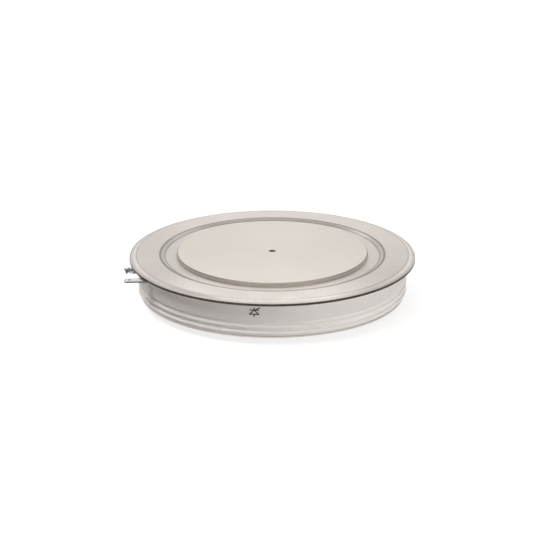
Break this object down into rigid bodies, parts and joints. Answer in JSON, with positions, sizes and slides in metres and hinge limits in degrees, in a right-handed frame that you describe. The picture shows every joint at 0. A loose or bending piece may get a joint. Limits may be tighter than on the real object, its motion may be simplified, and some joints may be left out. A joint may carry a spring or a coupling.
{
  "type": "disc thyristor",
  "caption": "Round flat press-pack thyristor: two plated copper contacts and formed metal flanges on a grooved ceramic ring, with gate and auxiliary cathode plug tabs.",
  "frame": {"origin": "centre of the anode contact face, at the mouth of its centring hole", "axes": "+Z from the anode contact face up to the cathode contact face; both plug tabs point along -X"},
  "size_m": [0.1531, 0.15, 0.026],
  "materials": {
    "nickel_contact": "lapped satin nickel plate on copper",
    "nickel_sheet": "satin nickel plate on formed copper sheet",
    "alumina": "fine matt fired alumina",
    "molybdenum": "lapped molybdenum",
    "metallised_silicon": "metallised silicon",
    "silicone_rubber": "matt silicone rubber",
    "white_insulation": "matt fluoropolymer",
    "silver_plate": "silver plate",
    "spring_steel": "drawn spring wire",
    "tinned_tab": "satin tin plate on brass",
    "marking_ink": "matt printed ink"
  },
  "bodies": {
    "root": {"cathode_pole": "nickel_contact", "anode_pole": "nickel_contact", "cathode_flange": "nickel_sheet", "weld_flange": "nickel_sheet", "anode_flange": "nickel_sheet", "ceramic_ring": "alumina", "anode_disc": "molybdenum", "cathode_disc": "molybdenum", "silicon_wafer": "metallised_silicon", "passivation_ring": "silicone_rubber", "locating_ring": "white_insulation", "gate_cup": "white_insulation", "lead_sleeve": "white_insulation", "gate_pin": "silver_plate", "gate_lead": "silver_plate", "gate_spring": "spring_steel", "gate_tube": "nickel_sheet", "gate_tab": "tinned_tab", "cathode_tab": "tinned_tab"}
  },
  "joints": []
}
